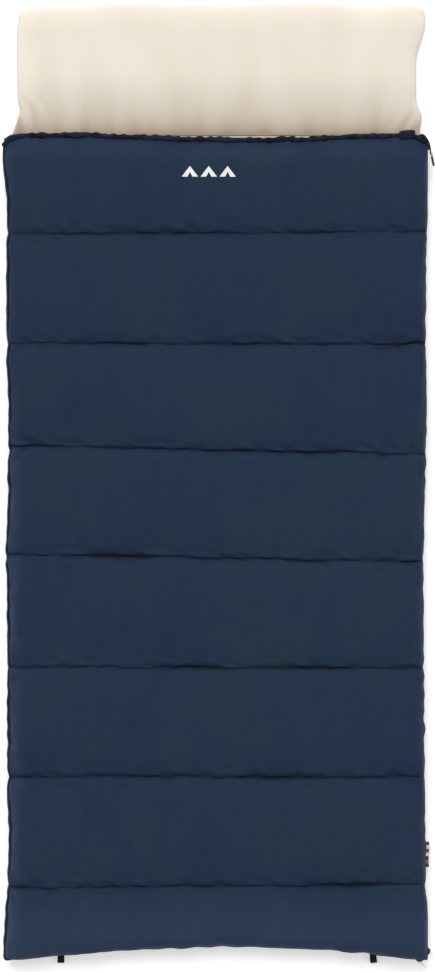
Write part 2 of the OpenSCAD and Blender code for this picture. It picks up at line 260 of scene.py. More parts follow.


# %% [markdown]
# ## Cloth and metal finishes
# Each cloth is one recipe with its own numbers: a base colour, broad and fine variation, crossed waves
# that raise a small bump, and a sheen for the fibre ends that stand up. A piece may carry a painted
# shade number at each point, and the cloth is darker there: painted shade in seams, folds and hollows.
# A painted sheen number makes it paler there, where a sloping panel would catch the light.

# %% Colour and node helpers
def tone(red, green, blue):
    """A screen colour of 0 to 255 as the linear colour that a shader takes."""
    value = np.array([red, green, blue]) / 255
    linear = np.where(value <= 0.04045, value / 12.92, ((value + 0.055) / 1.055) ** 2.4)
    return (*[float(v) for v in linear], 1.0)


def shades(colour, factor):
    """A colour made darker or lighter by a factor."""
    return (*[min(1.0, c * factor) for c in colour[:3]], 1.0)


def new_material(name):
    """An empty node material with its Principled shader, and its node tree."""
    material = bpy.data.materials.new(name)
    material.use_nodes = True
    tree = material.node_tree
    return material, tree, tree.nodes["Principled BSDF"]


def add(tree, kind, inputs=(), **settings):
    """A node with its settings, and its inputs set or linked by name or number."""
    node = tree.nodes.new(kind)
    for key, value in settings.items():
        setattr(node, key, value)
    for key, value in dict(inputs).items():
        if isinstance(value, bpy.types.NodeSocket):
            tree.links.new(value, node.inputs[key])
        else:
            node.inputs[key].default_value = value
    return node


def mixed(tree, blend, factor, first, second):
    """The result of a colour Mix node."""
    node = add(tree, "ShaderNodeMix", data_type="RGBA", blend_type=blend)
    for socket, value in ((node.inputs[0], factor), (node.inputs[6], first), (node.inputs[7], second)):
        if isinstance(value, bpy.types.NodeSocket):
            tree.links.new(value, socket)
        else:
            socket.default_value = value
    return node.outputs[2]


def calc(tree, operation, first, second=0.0, third=0.0):
    """The result of a Math node."""
    node = add(tree, "ShaderNodeMath", operation=operation)
    for socket, value in zip(node.inputs, (first, second, third)):
        if isinstance(value, bpy.types.NodeSocket):
            tree.links.new(value, socket)
        else:
            socket.default_value = value
    return node.outputs[0]


# %% The cloth recipe
def cloth(name, colour, thread=0.0011, relief=0.25, blotch=0.10, fleck=0.10, sheen=0.25,
          roughness=0.85, painted_shade_tone=(0.55, 0.55, 0.55, 1), sheen_tint=(1, 1, 1, 1), other_colour=None):
    """Woven cloth. Two sets of waves at right angles make the bump. A wave texture repeats every
    0.314 / scale, so they lie 2 pi threads apart, coarser than real threads. Noise of 15 cm and of
    2 cm varies the dye, and noise of 2 mm gives the fibres their flecks. One number on each point
    paints shade into the colour, and another paints a paler sheen."""
    material, tree, shader = new_material(name)
    place = add(tree, "ShaderNodeTexCoord").outputs["Object"]
    broad = add(tree, "ShaderNodeTexNoise", {"Vector": place, "Scale": 6.5, "Detail": 2.0}).outputs[0]
    middle = add(tree, "ShaderNodeTexNoise", {"Vector": place, "Scale": 48.0, "Detail": 3.0}).outputs[0]
    fine = add(tree, "ShaderNodeTexNoise", {"Vector": place, "Scale": 520.0, "Detail": 2.0}).outputs[0]
    dye = calc(tree, "MULTIPLY_ADD", calc(tree, "ADD", broad, middle), blotch, 1.0 - blotch)
    flecks = calc(tree, "MULTIPLY_ADD", fine, 2 * fleck, 1.0 - fleck)
    strength = calc(tree, "MULTIPLY", dye, flecks)
    grey = add(tree, "ShaderNodeCombineColor", {0: strength, 1: strength, 2: strength}).outputs[0]
    # painted shade: a number on each point darkens the colour towards the painted shade tone, in seams,
    # folds and hollows
    crease = add(tree, "ShaderNodeAttribute", attribute_name="crease").outputs["Fac"]
    painted_shading = mixed(tree, "MIX", crease, (1, 1, 1, 1), painted_shade_tone)
    # painted sheen: a number on each point turns the colour paler and bluer, where a sloping panel would
    # catch the light
    fade = add(tree, "ShaderNodeAttribute", attribute_name="fade").outputs["Fac"]
    paler = tuple(c + rise for c, rise in zip(colour, (0.012, 0.018, 0.027))) + (1,)
    hue = calc(tree, "MULTIPLY_ADD", broad, 4.0, -1.6)
    turned = mixed(tree, "MIX", hue, colour, other_colour or colour)
    with_painted_sheen = mixed(tree, "MIX", fade, turned, paler)
    dyed = mixed(tree, "MULTIPLY", 1.0, with_painted_sheen, grey)
    tree.links.new(mixed(tree, "MULTIPLY", 1.0, dyed, painted_shading), shader.inputs["Base Color"])
    waves = {"Vector": place, "Scale": 0.05 / thread, "Distortion": 0.6, "Detail Scale": 2.0}
    warp = add(tree, "ShaderNodeTexWave", waves, bands_direction="X").outputs["Fac"]
    weft = add(tree, "ShaderNodeTexWave", waves, bands_direction="Y").outputs["Fac"]
    threads = calc(tree, "MAXIMUM", warp, weft)
    surface = calc(tree, "MULTIPLY_ADD", fine, 0.6, threads)
    bump = add(tree, "ShaderNodeBump", {"Height": surface, "Strength": relief, "Distance": 0.25 * thread})
    tree.links.new(bump.outputs[0], shader.inputs["Normal"])
    tree.links.new(calc(tree, "MULTIPLY_ADD", middle, 0.12, roughness - 0.06), shader.inputs["Roughness"])
    shader.inputs["Specular IOR Level"].default_value = 0.25
    shader.inputs["Sheen Weight"].default_value = sheen
    shader.inputs["Sheen Roughness"].default_value = 0.45
    shader.inputs["Sheen Tint"].default_value = sheen_tint
    return material


navy = tone(24, 40, 67)
cream = tone(239, 231, 216)
outer_cloth = cloth("navy_microfibre", navy, thread=0.0009, blotch=0.12, sheen=0.12,
                    painted_shade_tone=(0.22, 0.26, 0.36, 1), sheen_tint=tone(150, 165, 190),
                    other_colour=tone(24, 44, 62))
# the hem is the cover's navy painted darker, as painted shade in its roll and crumples
shaded_hem_cloth = cloth("navy_hem", shades(navy, 0.62), thread=0.0009, relief=0.4, sheen=0.06,
                  painted_shade_tone=(0.22, 0.22, 0.26, 1), sheen_tint=tone(150, 165, 190))
tab_cloth = cloth("navy_tab", shades(navy, 0.4), thread=0.0009, relief=0.4, sheen=0.08)
# the cream's painted shade tone is warm, as shade in cream cotton looks
lining_cloth = cloth("cream_cotton", cream, thread=0.0007, relief=0.2, blotch=0.03, fleck=0.04,
                     sheen=0.1, painted_shade_tone=(0.52, 0.43, 0.36, 1))
webbing = cloth("black_webbing", tone(26, 27, 31), thread=0.0016, relief=0.9, sheen=0.1)
tape_cloth = cloth("zip_tape_knit", tone(26, 30, 40), thread=0.0010, relief=0.7, sheen=0.08)
thread_cloth = cloth("quilting_thread", shades(navy, 1.25), thread=0.0004, relief=0.6, sheen=0.3)
print("cloths:", outer_cloth.name, lining_cloth.name, webbing.name, tape_cloth.name)

# %% Metal, nylon and print
def metal(name, colour, roughness, metallic, scratches=0.15):
    """Die-cast or pressed metal. Stretched noise is the tumbling marks, and it varies the gloss."""
    material, tree, shader = new_material(name)
    place = add(tree, "ShaderNodeTexCoord").outputs["Object"]
    stretched = add(tree, "ShaderNodeMapping", {"Vector": place, "Scale": (900, 160, 900)}).outputs[0]
    marks = add(tree, "ShaderNodeTexNoise", {"Vector": stretched, "Scale": 1.0, "Detail": 4.0}).outputs[0]
    wear_and_sheen = add(tree, "ShaderNodeTexNoise", {"Vector": place, "Scale": 300.0, "Detail": 2.0}).outputs[0]
    edge = add(tree, "ShaderNodeNewGeometry").outputs["Pointiness"]
    rub = calc(tree, "MULTIPLY", calc(tree, "GREATER_THAN", edge, 0.53), wear_and_sheen)
    tree.links.new(mixed(tree, "MIX", rub, colour, shades(colour, 2.2)), shader.inputs["Base Color"])
    tree.links.new(calc(tree, "MULTIPLY_ADD", marks, scratches, roughness), shader.inputs["Roughness"])
    bump = add(tree, "ShaderNodeBump", {"Height": marks, "Strength": 0.15, "Distance": 0.0001})
    tree.links.new(bump.outputs[0], shader.inputs["Normal"])
    shader.inputs["Metallic"].default_value = metallic
    return material


def moulded(name, colour, roughness):
    """Moulded nylon or rubber with a fine grain."""
    material, tree, shader = new_material(name)
    place = add(tree, "ShaderNodeTexCoord").outputs["Object"]
    grain = add(tree, "ShaderNodeTexNoise", {"Vector": place, "Scale": 700.0, "Detail": 3.0}).outputs[0]
    tree.links.new(mixed(tree, "MIX", grain, shades(colour, 0.8), shades(colour, 1.3)),
                   shader.inputs["Base Color"])
    tree.links.new(calc(tree, "MULTIPLY_ADD", grain, 0.2, roughness), shader.inputs["Roughness"])
    bump = add(tree, "ShaderNodeBump", {"Height": grain, "Strength": 0.2, "Distance": 0.0001})
    tree.links.new(bump.outputs[0], shader.inputs["Normal"])
    return material


slider_enamel = metal("dark_enamel", tone(38, 39, 42), 0.35, 0.6)
pull_nickel = metal("satin_nickel", tone(190, 191, 194), 0.28, 1.0)
stop_metal = metal("pressed_steel", tone(70, 72, 77), 0.45, 1.0)
coil_nylon = moulded("coil_nylon", tone(22, 25, 36), 0.4)
grip_rubber = moulded("grip_rubber", tone(22, 22, 24), 0.5)
print_ink = moulded("white_print_ink", tone(238, 240, 243), 0.6)
print("hard finishes:", slider_enamel.name, pull_nickel.name, coil_nylon.name)

# %% [markdown]
# ## The layout of the quilting
# Seven seams cross the bag, and they make eight panels. The two layers share this layout. A grid over
# a layer has its rows closer together beside each seam, because that is where the cloth bends most, and
# its columns closer together along both long sides.

# %% Seams, rows and columns
seam_pitch = 0.2664
first_seam = 0.614
seam_tilt = np.array([0.006, -0.002, -0.022, -0.018, -0.002, -0.001, 0.010])
seam_shift = np.array([-0.004, -0.008, -0.001, 0.002, 0.001, 0.001, 0.001])
seam_lines = first_seam - seam_pitch * np.arange(7)
sewn_lines = np.append(seam_lines, neck_y - 0.006)
panel_edges = np.concatenate([[foot_y], seam_lines[::-1], [neck_y - 0.006]])
half_width = (side_zip_x - fold_x) / 2 - 0.003
middle_x = (side_zip_x + fold_x) / 2 + 0.003


def graded(low, high, count, draw):
    """Places from low to high, drawn towards both ends by draw, from 0 to 1."""
    q = np.linspace(0, 1, count + 1)
    return low + (high - low) * (q - draw * np.sin(2 * np.pi * q) / (2 * np.pi))


def layer_rows(step=0.0074, draw=0.72):
    """The rows of a layer, panel by panel, from the foot to the neck."""
    spans = zip(panel_edges[:-1], panel_edges[1:])
    rows = [graded(a, b, int(round((b - a) / step)), draw)[:-1] for a, b in spans]
    return np.concatenate(rows + [panel_edges[-1:]])


def layer_columns(count=168, draw=0.6):
    """The columns of a layer as shares of its width, from the fold to the zip."""
    return graded(0.0, 1.0, count, draw)


print(f"{len(layer_rows())} rows and {len(layer_columns())} columns on each layer")

# %% [markdown]
# ## The outline
# A real bag is never a true rectangle. Its long sides pull in beside the middle, where the padding takes
# up cloth, and stand out at the corners. The foot edge rises in the middle and droops at the zipped
# corner. The zip keeps to its straight line where a slider is parked, near each of its ends. Each edge is
# a smooth curve through a few chosen places, with small waves added.

# %% Smooth curves through a few places
def cubic_weights(places, knots):
    """The table that turns values at the knots into values at places, by Catmull-Rom curves."""
    at = np.interp(places, knots, np.arange(len(knots)))
    low = np.clip(at.astype(int), 0, len(knots) - 2)
    t = at - low
    parts = (-0.5 * t + t**2 - 0.5 * t**3, 1 - 2.5 * t**2 + 1.5 * t**3,
             0.5 * t + 2 * t**2 - 1.5 * t**3, -0.5 * t**2 + 0.5 * t**3)
    table = np.zeros((len(places), len(knots)))
    for offset, part in zip((-1, 0, 1, 2), parts):
        np.add.at(table, (np.arange(len(places)), np.clip(low + offset, 0, len(knots) - 1)), part)
    return table


def curve(places, *through):
    """A smooth curve at places, through (place, millimetres) pairs, in metres."""
    knots, values = np.array(through).T
    flat = np.ravel(places)
    return (cubic_weights(flat, knots) @ values).reshape(np.shape(places)) / 1000


# %% Edge functions
def panel_share(y):
    """How far y is through its panel, from 0 at one seam to 1 at the next, and the panel's number."""
    number = np.clip(np.searchsorted(panel_edges, y, side="right") - 1, 0, len(panel_edges) - 2)
    low, high = panel_edges[number], panel_edges[number + 1]
    return np.clip((y - low) / (high - low), 0, 1), number


def notch(y):
    """1 at a seam and 0 some way off, where the seam pulls an edge in."""
    return np.exp(-(np.abs(y[..., None] - seam_lines - seam_shift).min(axis=-1) / 0.010) ** 1.5)


def scallops(along, seed):
    """The small uneven waves that stitching draws into an edge."""
    return 0.0010 * ripples(along, 0, 0.048, seed, 9) * (1 + 0.5 * ripples(along, 0, 0.3, seed + 1, 5))


def left_edge(y):
    """The folded side's line. It stands out at both corners and a little at some seams."""
    line = curve(y, (-1.16, -518), (-1.10, -518), (-1.03, -511), (-0.88, -506), (-0.72, -509),
                 (-0.45, -509), (-0.25, -510), (-0.175, -513), (-0.10, -510), (0.0, -507), (0.20, -507),
                 (0.35, -511), (0.55, -511), (0.68, -510), (0.76, -517), (0.80, -522),
                 (0.825, -522.5), (0.85, -520))
    return line + 0.0030 * notch(y) + scallops(y, 5)


def zip_drift(y):
    """How far the side zip strays inwards from its straight line. It's nothing near a parked slider."""
    line = curve(y, (-1.17, 1), (-1.14, 0), (-1.13, 0), (-1.06, 0), (-1.03, -1.5),
                 (-0.99, -4.5), (-0.8, -6.5), (-0.65, -8), (-0.4, -9.5),
                 (-0.25, -10.5), (-0.1, -9), (0.05, -5), (0.2, -2.5), (0.3, -4.5), (0.5, -4.5),
                 (0.64, -1), (0.76, 0), (0.86, 0))
    calm = soft_step(y, -1.06, -0.98) * (1 - soft_step(y, 0.66, 0.74))
    return line + calm * (scallops(y, 8) - 0.0022 * notch(y))


def right_edge(y):
    """The zipped side's line, just inside the zip."""
    return side_zip_x - 0.0014 + zip_drift(y)


def foot_zip_line(x):
    """The foot zip's line: an arch between the two corners, lower on the zipped side."""
    line = curve(x, (-0.53, -1163), (-0.505, -1165), (-0.475, -1165), (-0.44, -1161), (-0.40, -1156.5),
                 (-0.35, -1152.5), (-0.25, -1144), (-0.10, -1138), (0.03, -1133.5),
                 (0.15, -1137), (0.28, -1142), (0.36, -1149), (0.44, -1160), (0.485, -1165), (0.53, -1166))
    calm = soft_step(x, -0.40, -0.33) * (1 - soft_step(x, 0.36, 0.45))
    return line + calm * scallops(x, 12)


def foot_line(x):
    """The foot edge, just inside the foot zip."""
    return foot_zip_line(x) + 0.0014


def neck_line(x):
    """The neck edge of the cover, above its straight line: higher at both ends."""
    return curve(x, (-0.53, -30), (-0.522, -20), (-0.516, -10), (-0.508, -2), (-0.495, 3), (-0.47, 6),
                 (-0.42, 8), (-0.36, 8.5), (-0.29, 7.5), (-0.20, 2.5), (-0.11, 0), (0.0, -3),
                 (0.18, -3), (0.29, 1.5), (0.38, 6),
                 (0.45, 7), (0.49, 2), (0.51, -7), (0.53, -20)) + 0.0008 * ripples(x, 0, 0.06, 21, 6)


def layer_grid(rows, columns, straight_neck=None):
    """The places (x, y) of a layer's grid, from its rows and column shares. Seams tilt a little, and
    the foot's and neck's own lines fade out over the first panel from each. A layer with a straight
    neck edge has it that far above the cover's."""
    y = rows[:, None] + 0 * columns[None, :]
    x = left_edge(rows)[:, None] + (right_edge(rows) - left_edge(rows))[:, None] * columns[None, :]
    tilt = np.interp(rows, panel_edges, np.concatenate([[0], seam_tilt[::-1], [0]]))
    shift = np.interp(rows, panel_edges, np.concatenate([[0], seam_shift[::-1], [0]]))
    near_foot = np.clip(1 - (rows - foot_y) / 0.17, 0, 1) ** 1.5
    near_neck = np.clip(1 - (neck_y - 0.006 - rows) / 0.20, 0, 1) ** 1.5
    wander = 0.0018 * ripples(x, 0.9 * y, 0.17, 31, 7) + 0.0009 * ripples(x, 1.7 * y, 0.05, 32, 9)
    edges = inside((len(rows), 3))[:, 1:2]
    y = y + shift[:, None] + tilt[:, None] * (columns[None, :] - 0.5) + wander * edges
    y = y + near_foot[:, None] * (foot_line(x) - foot_y)
    y = y + near_neck[:, None] * (neck_line(x) if straight_neck is None else straight_neck)
    return x, y


rows, columns = layer_rows(), layer_columns()
layer_x, layer_y = layer_grid(rows, columns)
print(f"the layer spans {np.ptp(layer_x):.3f} by {np.ptp(layer_y):.3f} m")

# %% [markdown]
# ## Creases from a cloth simulation
# Outer fabric is cut larger than the finished layer, and quilting holds it down along the seams. The
# spare cloth shows as short creases that run away from each seam. They are hard to draw and easy to
# simulate: a flat sheet is pinned along its seams and its edge, told that it is 2% too large, and pushed
# up by the padding. Only its creases are kept, so that the panels keep their own even height.

# %% Simulate the quilted sheet
def billow(x, y, z, pinned, growth, frames):
    """Where a cloth sheet settles when it's too large by growth, is pushed up and is held at pinned.
    Gravity of the cloth's effector weights is turned upwards to stand for the padding's push."""
    index = np.arange(x.size).reshape(x.shape)
    sheet = make_piece("creasing_sheet", np.stack([x, y, z], axis=-1), quads(index))
    held = sheet.vertex_groups.new(name="sewn")
    held.add(index[pinned].tolist(), 1.0, "REPLACE")
    modifier = sheet.modifiers.new("creasing", "CLOTH")
    settings = modifier.settings
    settings.vertex_group_mass = "sewn"
    settings.quality = 4
    settings.mass = 0.12
    settings.air_damping = 4.0
    settings.tension_stiffness = 18
    settings.compression_stiffness = 18
    settings.shear_stiffness = 6
    settings.bending_stiffness = 0.15
    settings.shrink_min = -growth
    settings.effector_weights.gravity = -0.5
    modifier.point_cache.frame_start = 1
    modifier.point_cache.frame_end = frames
    for number in range(1, frames + 1):
        bpy.context.scene.frame_set(number)
    shaped = sheet.evaluated_get(bpy.context.evaluated_depsgraph_get())
    settled = np.zeros(x.size * 3, np.float32)
    shaped.data.vertices.foreach_get("co", settled)
    bpy.data.objects.remove(sheet)
    bpy.context.scene.frame_set(1)
    return settled.reshape(*x.shape, 3).astype(float)


def smooth_rows(values, reach):
    """Each row averaged over its neighbours within reach points to each side."""
    kernel = np.hanning(2 * reach + 3)[1:-1]
    kernel /= kernel.sum()
    padded_values = np.pad(values, ((0, 0), (reach, reach)), mode="edge")
    return sum(k * padded_values[:, i:i + values.shape[1]] for i, k in enumerate(kernel))


def puff(share, steep=0.5):
    """A panel's height from 0 at its seams to 1: it rises fast and is nearly level in the middle."""
    return np.sin(np.pi * np.clip(share, 0, 1)) ** steep


sheet_rows = np.concatenate(
    [np.linspace(a, b, int(round((b - a) / 0.0078)), endpoint=False)
     for a, b in zip(panel_edges[:-1], panel_edges[1:])] + [panel_edges[-1:]])
sheet_columns = np.linspace(0, 1, 133)
flat_x = middle_x + half_width * (2 * sheet_columns[None, :] - 1) + 0 * sheet_rows[:, None]
flat_y = sheet_rows[:, None] + 0 * sheet_columns[None, :]
seam_rows = np.isin(sheet_rows, panel_edges)
start = 0.010 * puff(panel_share(flat_y)[0]) + 0.0004 * ripples(flat_x, flat_y, 0.05, 41)
pinned = seam_rows[:, None] | (inside(flat_x.shape) == 0)
start[pinned] = 0
settled = billow(flat_x, flat_y, start, pinned, growth=0.02, frames=22)
creases = settled - np.stack([flat_x, flat_y, 0 * flat_x], axis=-1)
creases[..., 2] -= smooth_rows(creases[..., 2], 9)
print(f"creases stand {creases[..., 2].max() * 1000:.1f} mm proud")

# %% [markdown]
# The sheet's grid is even and the layer's isn't, so the creases are read off between the sheet's points,
# with the same smooth curves each way.

# %% Read the creases at a layer's points
down, across = cubic_weights(rows, sheet_rows), cubic_weights(columns, sheet_columns)
crease_x, crease_y, crease_z = (down @ creases[..., axis] @ across.T for axis in range(3))

# %% [markdown]
# ## The cover
# The cover is a closed pad. Its skin rises in an ellipse from the edge seam, is drawn down to a narrow
# valley at each quilting seam, and puckers beside it. Its underside is nearly flat, because it lies on
# the lining. It stands for the outer fabric and the filling inside.

# %% Height of a quilted skin
edge_reach = 0.045
valley = 0.30


def edge_round(distance, reach):
    """0 at an edge, 1 further in than reach, along a quarter of an ellipse."""
    return np.sqrt(np.clip(1 - (1 - np.clip(distance / reach, 0, 1)) ** 2, 0, 1))


def quilt_relief(grid_rows, grid_columns, seed, steep=0.42, hem_reach=0.06):
    """A quilted skin's height from 0 at its edge to 1: valleys at the seams, edges rounded off, and
    puckers that fade away from each seam."""
    share, number = panel_share(grid_rows)
    share = np.where(number == 0, 0.5 + 0.5 * share, share)
    share = np.where(number == len(panel_edges) - 2, 0.5 * share, share)
    lift = valley + (1 - valley) * puff(share, steep)[:, None]
    across_m = 2 * half_width * grid_columns[None, :]
    from_side = np.minimum(across_m, 2 * half_width - across_m)
    from_foot = (grid_rows - panel_edges[0])[:, None]
    from_neck = (panel_edges[-1] - grid_rows)[:, None]
    rim = edge_round(from_side, edge_reach) * edge_round(from_foot, edge_reach)
    rim = rim * soft_step(from_neck, -0.002, hem_reach) ** 0.8
    to_seam = np.abs(grid_rows[:, None] - sewn_lines[None, :]).min(axis=1)[:, None]
    along = ripples(across_m, 2.0 * grid_rows[:, None], 0.06, seed, 16)
    pucker = 0.17 * np.exp(-to_seam / 0.018) * (1 - np.exp(-to_seam / 0.003)) * along
    depth = ripples(across_m, 5.0 * number[:, None], 0.21, seed + 3, 8)
    lift = lift - 0.13 * np.exp(-to_seam / 0.012) * np.clip(depth, -0.8, 1.5)
    broad = 0.05 * ripples(across_m, grid_rows[:, None], 0.24, seed + 1, 9)
    rim_wave = 0.10 * (1 - rim) * ripples(across_m, grid_rows[:, None], 0.055, seed + 2, 12)
    return rim * (lift + pucker + broad * (1 - np.exp(-to_seam / 0.03)) + rim_wave)


def seam_shadow(grid_rows, grid_columns, seed=51):
    """1 on a seam and 0 a few millimetres away: painted shade in the seam's valley, where the cloth is
    drawn down. It's broader and deeper in some places along a seam than in others."""
    number = panel_share(grid_rows + 0.02)[1][:, None]
    to_seam = np.abs(grid_rows[:, None] - sewn_lines[None, :]).min(axis=1)[:, None]
    depth = ripples(2 * half_width * grid_columns[None, :], 5.0 * number, 0.21, seed + 3, 8)
    breadth = 0.0042 * np.clip(1 + 0.35 * depth, 0.55, 1.9)
    return np.clip(0.75 + 0.25 * depth, 0.3, 1) * np.exp(-(to_seam / breadth) ** 2)


# %% Make the cover
cover_edge_z = lining_under_z + 0.006
cover_crown = cover_high.z - cover_edge_z - 0.0015
crease_gain = 0.8
cover_relief = quilt_relief(rows, columns, 51)
rim_mask = soft_step(cover_relief, 0.0, 0.35)
cover_x = layer_x + crease_gain * crease_x * rim_mask
cover_y = layer_y + crease_gain * crease_y * rim_mask
cover_top = cover_edge_z + cover_crown * cover_relief + crease_gain * crease_z * rim_mask
cover_under = cover_edge_z - 0.0012 * np.minimum(1, 2 * cover_relief)
cover_top = np.clip(cover_top, cover_under + 0.0012 * inside(layer_x.shape), cover_high.z)
cover = pad("cover_quilt", cover_x, cover_y, cover_top, cover_under, outer_cloth)
# painted shade along the seams' valleys
paint(cover, "crease", seam_shadow(rows, columns))
from_left = columns[None, :] * 2 * half_width
# painted sheen: paler on the foot panel, a little on the top panel, and in a band along the folded left
# side
wear_and_sheen = 0.60 * soft_step(-layer_y, 0.985, 1.10) + 0.10 * soft_step(layer_y, 0.60, 0.80)
left_edge_sheen = np.exp(-(from_left / 0.028) ** 2) * soft_step(-layer_y, -0.25, 0.1)
wear_and_sheen = wear_and_sheen + 0.75 * left_edge_sheen * (1 + 0.4 * ripples(layer_x, layer_y, 0.05, 55))
paint(cover, "fade", np.clip(wear_and_sheen, 0, 1))
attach(cover, "cover")
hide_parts("cover_shell", "cover_fill")
print(f"cover: {len(cover.data.polygons)} faces, top at {cover_top.max() * 1000:.1f} mm")

# %% [markdown]
# ## The linings
# Inside, each layer shows brushed cream cotton, sewn down by the same seams. It only shows when the
# cover is opened or at the neck, so its grid is coarser.

# %% A lining's grid and its relief
def lining_layer(name, edge_z, depth, direction, body, node, seed, straight_neck=None):
    """A lining sheet that swells by depth between the seams, up or down by direction."""
    lining_rows, lining_columns = layer_rows(0.016, 0.6), layer_columns(80, 0.5)
    x, y = layer_grid(lining_rows, lining_columns, straight_neck)
    x = middle_x + (x - middle_x) * 0.994
    y = y + 0.003 * soft_step(-y, 0, 1) - 0.002 * soft_step(y, 0, 0.8)
    relief = quilt_relief(lining_rows, lining_columns, seed, 0.5)
    z = edge_z + direction * depth * relief
    piece = cloth_sheet(name, x, y, z - 0.0004, 0.0008, lining_cloth)
    # painted shade along the lining's seams
    paint(piece, "crease", seam_shadow(lining_rows, lining_columns))
    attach(piece, body)
    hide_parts(node)
    return piece


lining_neck_rise = 0.0055
cover_lining = lining_layer("cover_lining_cloth", lining_under_z + 0.0032, 0.003, -1, "cover",
                            "cover_lining", 61)
base_lining = lining_layer("base_lining_cloth", lining_top_z - 0.006, 0.0056, 1, "bottom_layer",
                           "base_lining", 62, lining_neck_rise)

# %% [markdown]
# ## The bottom layer
# The bottom layer is the cover's twin, turned over: its outer fabric lies on the floor, so its panels
# are pressed flat there and only the seams and edges lift.

# %% Make the bottom layer
base_edge_z = 0.027
base_neck_rise = 0.0070
base_relief = quilt_relief(rows, columns, 71, 0.3, 0.02)
from_neck = (panel_edges[-1] - rows)[:, None]
from_side = np.minimum(columns, 1 - columns)[None, :] * 2 * half_width
at_neck = np.exp(-from_neck / 0.008) * (1 - np.exp(-from_side / 0.012))
base_border = base_edge_z + (neck_seam_z - base_edge_z) * at_neck
pressed_flat = np.clip(1.25 * base_relief, 0, 1) ** 0.8
base_under = base_border * (1 - pressed_flat)
base_top = base_border + (lining_top_z - 0.009 - base_border) * np.minimum(1, 2 * base_relief)
base_x, base_y = layer_grid(rows, columns, base_neck_rise)
base = pad("bottom_quilt", base_x, base_y, base_top, base_under, outer_cloth)
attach(base, "bottom_layer")
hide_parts("base_shell", "base_fill")
print(f"bottom layer: {len(base.data.polygons)} faces")

# %% [markdown]
# ## The fold on the long side
# The outer fabric runs from one layer round to the other, and so does the lining inside it. Both strips
# are made in place and attached to neither layer, so they stay put when the cover opens.

# %% Make the two fold strips
fold_corner = 0.006
fold_end_x = foot_tape_low.x + 0.005


def fold_path():
    """The fold's line in plan, from the neck down the folded side and round the foot's corner to the
    zip's end, with the directions square to it."""
    side_y = np.linspace(neck_y - 0.012, foot_zip_line(np.array([-0.512]))[0] + fold_corner, 300)
    side = np.stack([left_edge(side_y), side_y], axis=-1)
    turn = np.linspace(np.pi, 1.5 * np.pi, 12)[1:]
    middle = side[-1] + [fold_corner, 0]
    bend = middle + fold_corner * np.stack([np.cos(turn), np.sin(turn)], axis=-1)
    foot_x = np.linspace(bend[-1, 0] + 0.002, fold_end_x, 6)
    foot = np.stack([foot_x, foot_line(foot_x)], axis=-1)
    path = np.concatenate([side, bend, foot])
    ahead = np.gradient(path, axis=0)
    ahead /= np.linalg.norm(ahead, axis=1, keepdims=True)
    return path, np.stack([ahead[:, 1], -ahead[:, 0]], axis=-1)


def fold_strip(name, inset, low_z, high_z, bulge, thickness, material, seed):
    """A strip along the fold. Its section is half an ellipse from low_z to high_z, inset from the edge
    line, and it bulges outwards. It's lower beside a seam, like the layers."""
    path, outwards = fold_path()
    turn = np.linspace(-0.5 * np.pi, 0.5 * np.pi, 17)[None, :]
    share = (np.sin(turn) + 1) / 2
    along = path[:, 1:]
    ends = np.sqrt(np.clip(1 - np.linspace(1, -0.6, len(path))[:, None] ** 60, 0, 1))
    height = (high_z - low_z) * (0.80 + 0.20 * puff(panel_share(along)[0])) * (0.6 + 0.4 * ends)
    z = (high_z + low_z) / 2 + height * (share - 0.5)
    out = bulge * ends * np.cos(turn) * (1 + 0.12 * ripples(along, 8 * share, 0.06, seed, 8)) - inset
    plan = path[:, None] + out[..., None] * outwards[:, None]
    return curved_sheet(name, np.concatenate([plan, z[..., None]], axis=-1), thickness, material)


outer_fold = fold_strip("outer_fold_strip", 0.0010, 0.0225, 0.0560, 0.0046, 0.0008, outer_cloth, 81)
inner_fold = fold_strip("lining_fold_strip", 0.016, 0.0300, 0.0480, 0.008, 0.0006, lining_cloth, 83)
for strip in (outer_fold, inner_fold):
    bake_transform(strip)
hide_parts("side_fold")

# %% [markdown]
# ## The head section
# A cushion of cream cotton, filled a little fuller than the bag. It slopes down to the seam at the neck,
# where the bag's weight holds it, and there its sides flare out to the bag's full width. Its edge is a
# soft roll, and small folds run in from the seam's two ends.

# %% The head section's outline
head_foot_y = head_low.y
head_top_y = head_high.y
head_length = head_top_y - head_foot_y


def head_left(y):
    """The head section's left side: straight, then a notch, then flared out to the neck's corner."""
    return curve(y, (0.85, -504), (0.875, -496), (0.90, -488), (0.918, -483), (0.938, -488),
                 (0.97, -489.5), (1.12, -490), (1.155, -486), (1.19, -484))


def head_right(y):
    """The head section's right side, with a bulge over the neck's corner and a full top corner."""
    return curve(y, (0.85, 497), (0.875, 499), (0.903, 502), (0.92, 496), (0.94, 489),
                 (0.97, 488.5), (1.05, 489), (1.09, 500), (1.12, 509), (1.15, 510), (1.19, 506))


def head_end(x):
    """The top edge's line, above or below the straight one, waving between the two corners."""
    return curve(x, (-0.50, -14), (-0.47, -12), (-0.40, -9), (-0.33, -8), (-0.27, 0), (-0.20, 0),
                 (-0.10, -2), (0.05, -4), (0.18, 1), (0.26, 1.5), (0.33, -5), (0.37, -7),
                 (0.45, -4), (0.52, -4))


head_u, head_v = graded(0, 1, 150, 0.55), graded(0, 1, 72, 0.5)
reach_y = head_foot_y + head_length * head_v
corner = 0.020
cut = corner * (1 - edge_round(head_top_y - reach_y, corner))
left_x = head_left(reach_y) + cut
right_x = head_right(reach_y) - cut
head_x = left_x[:, None] + (right_x - left_x)[:, None] * head_u[None, :]
head_y = reach_y[:, None] + head_end(head_x) * (head_v[:, None] ** 2)

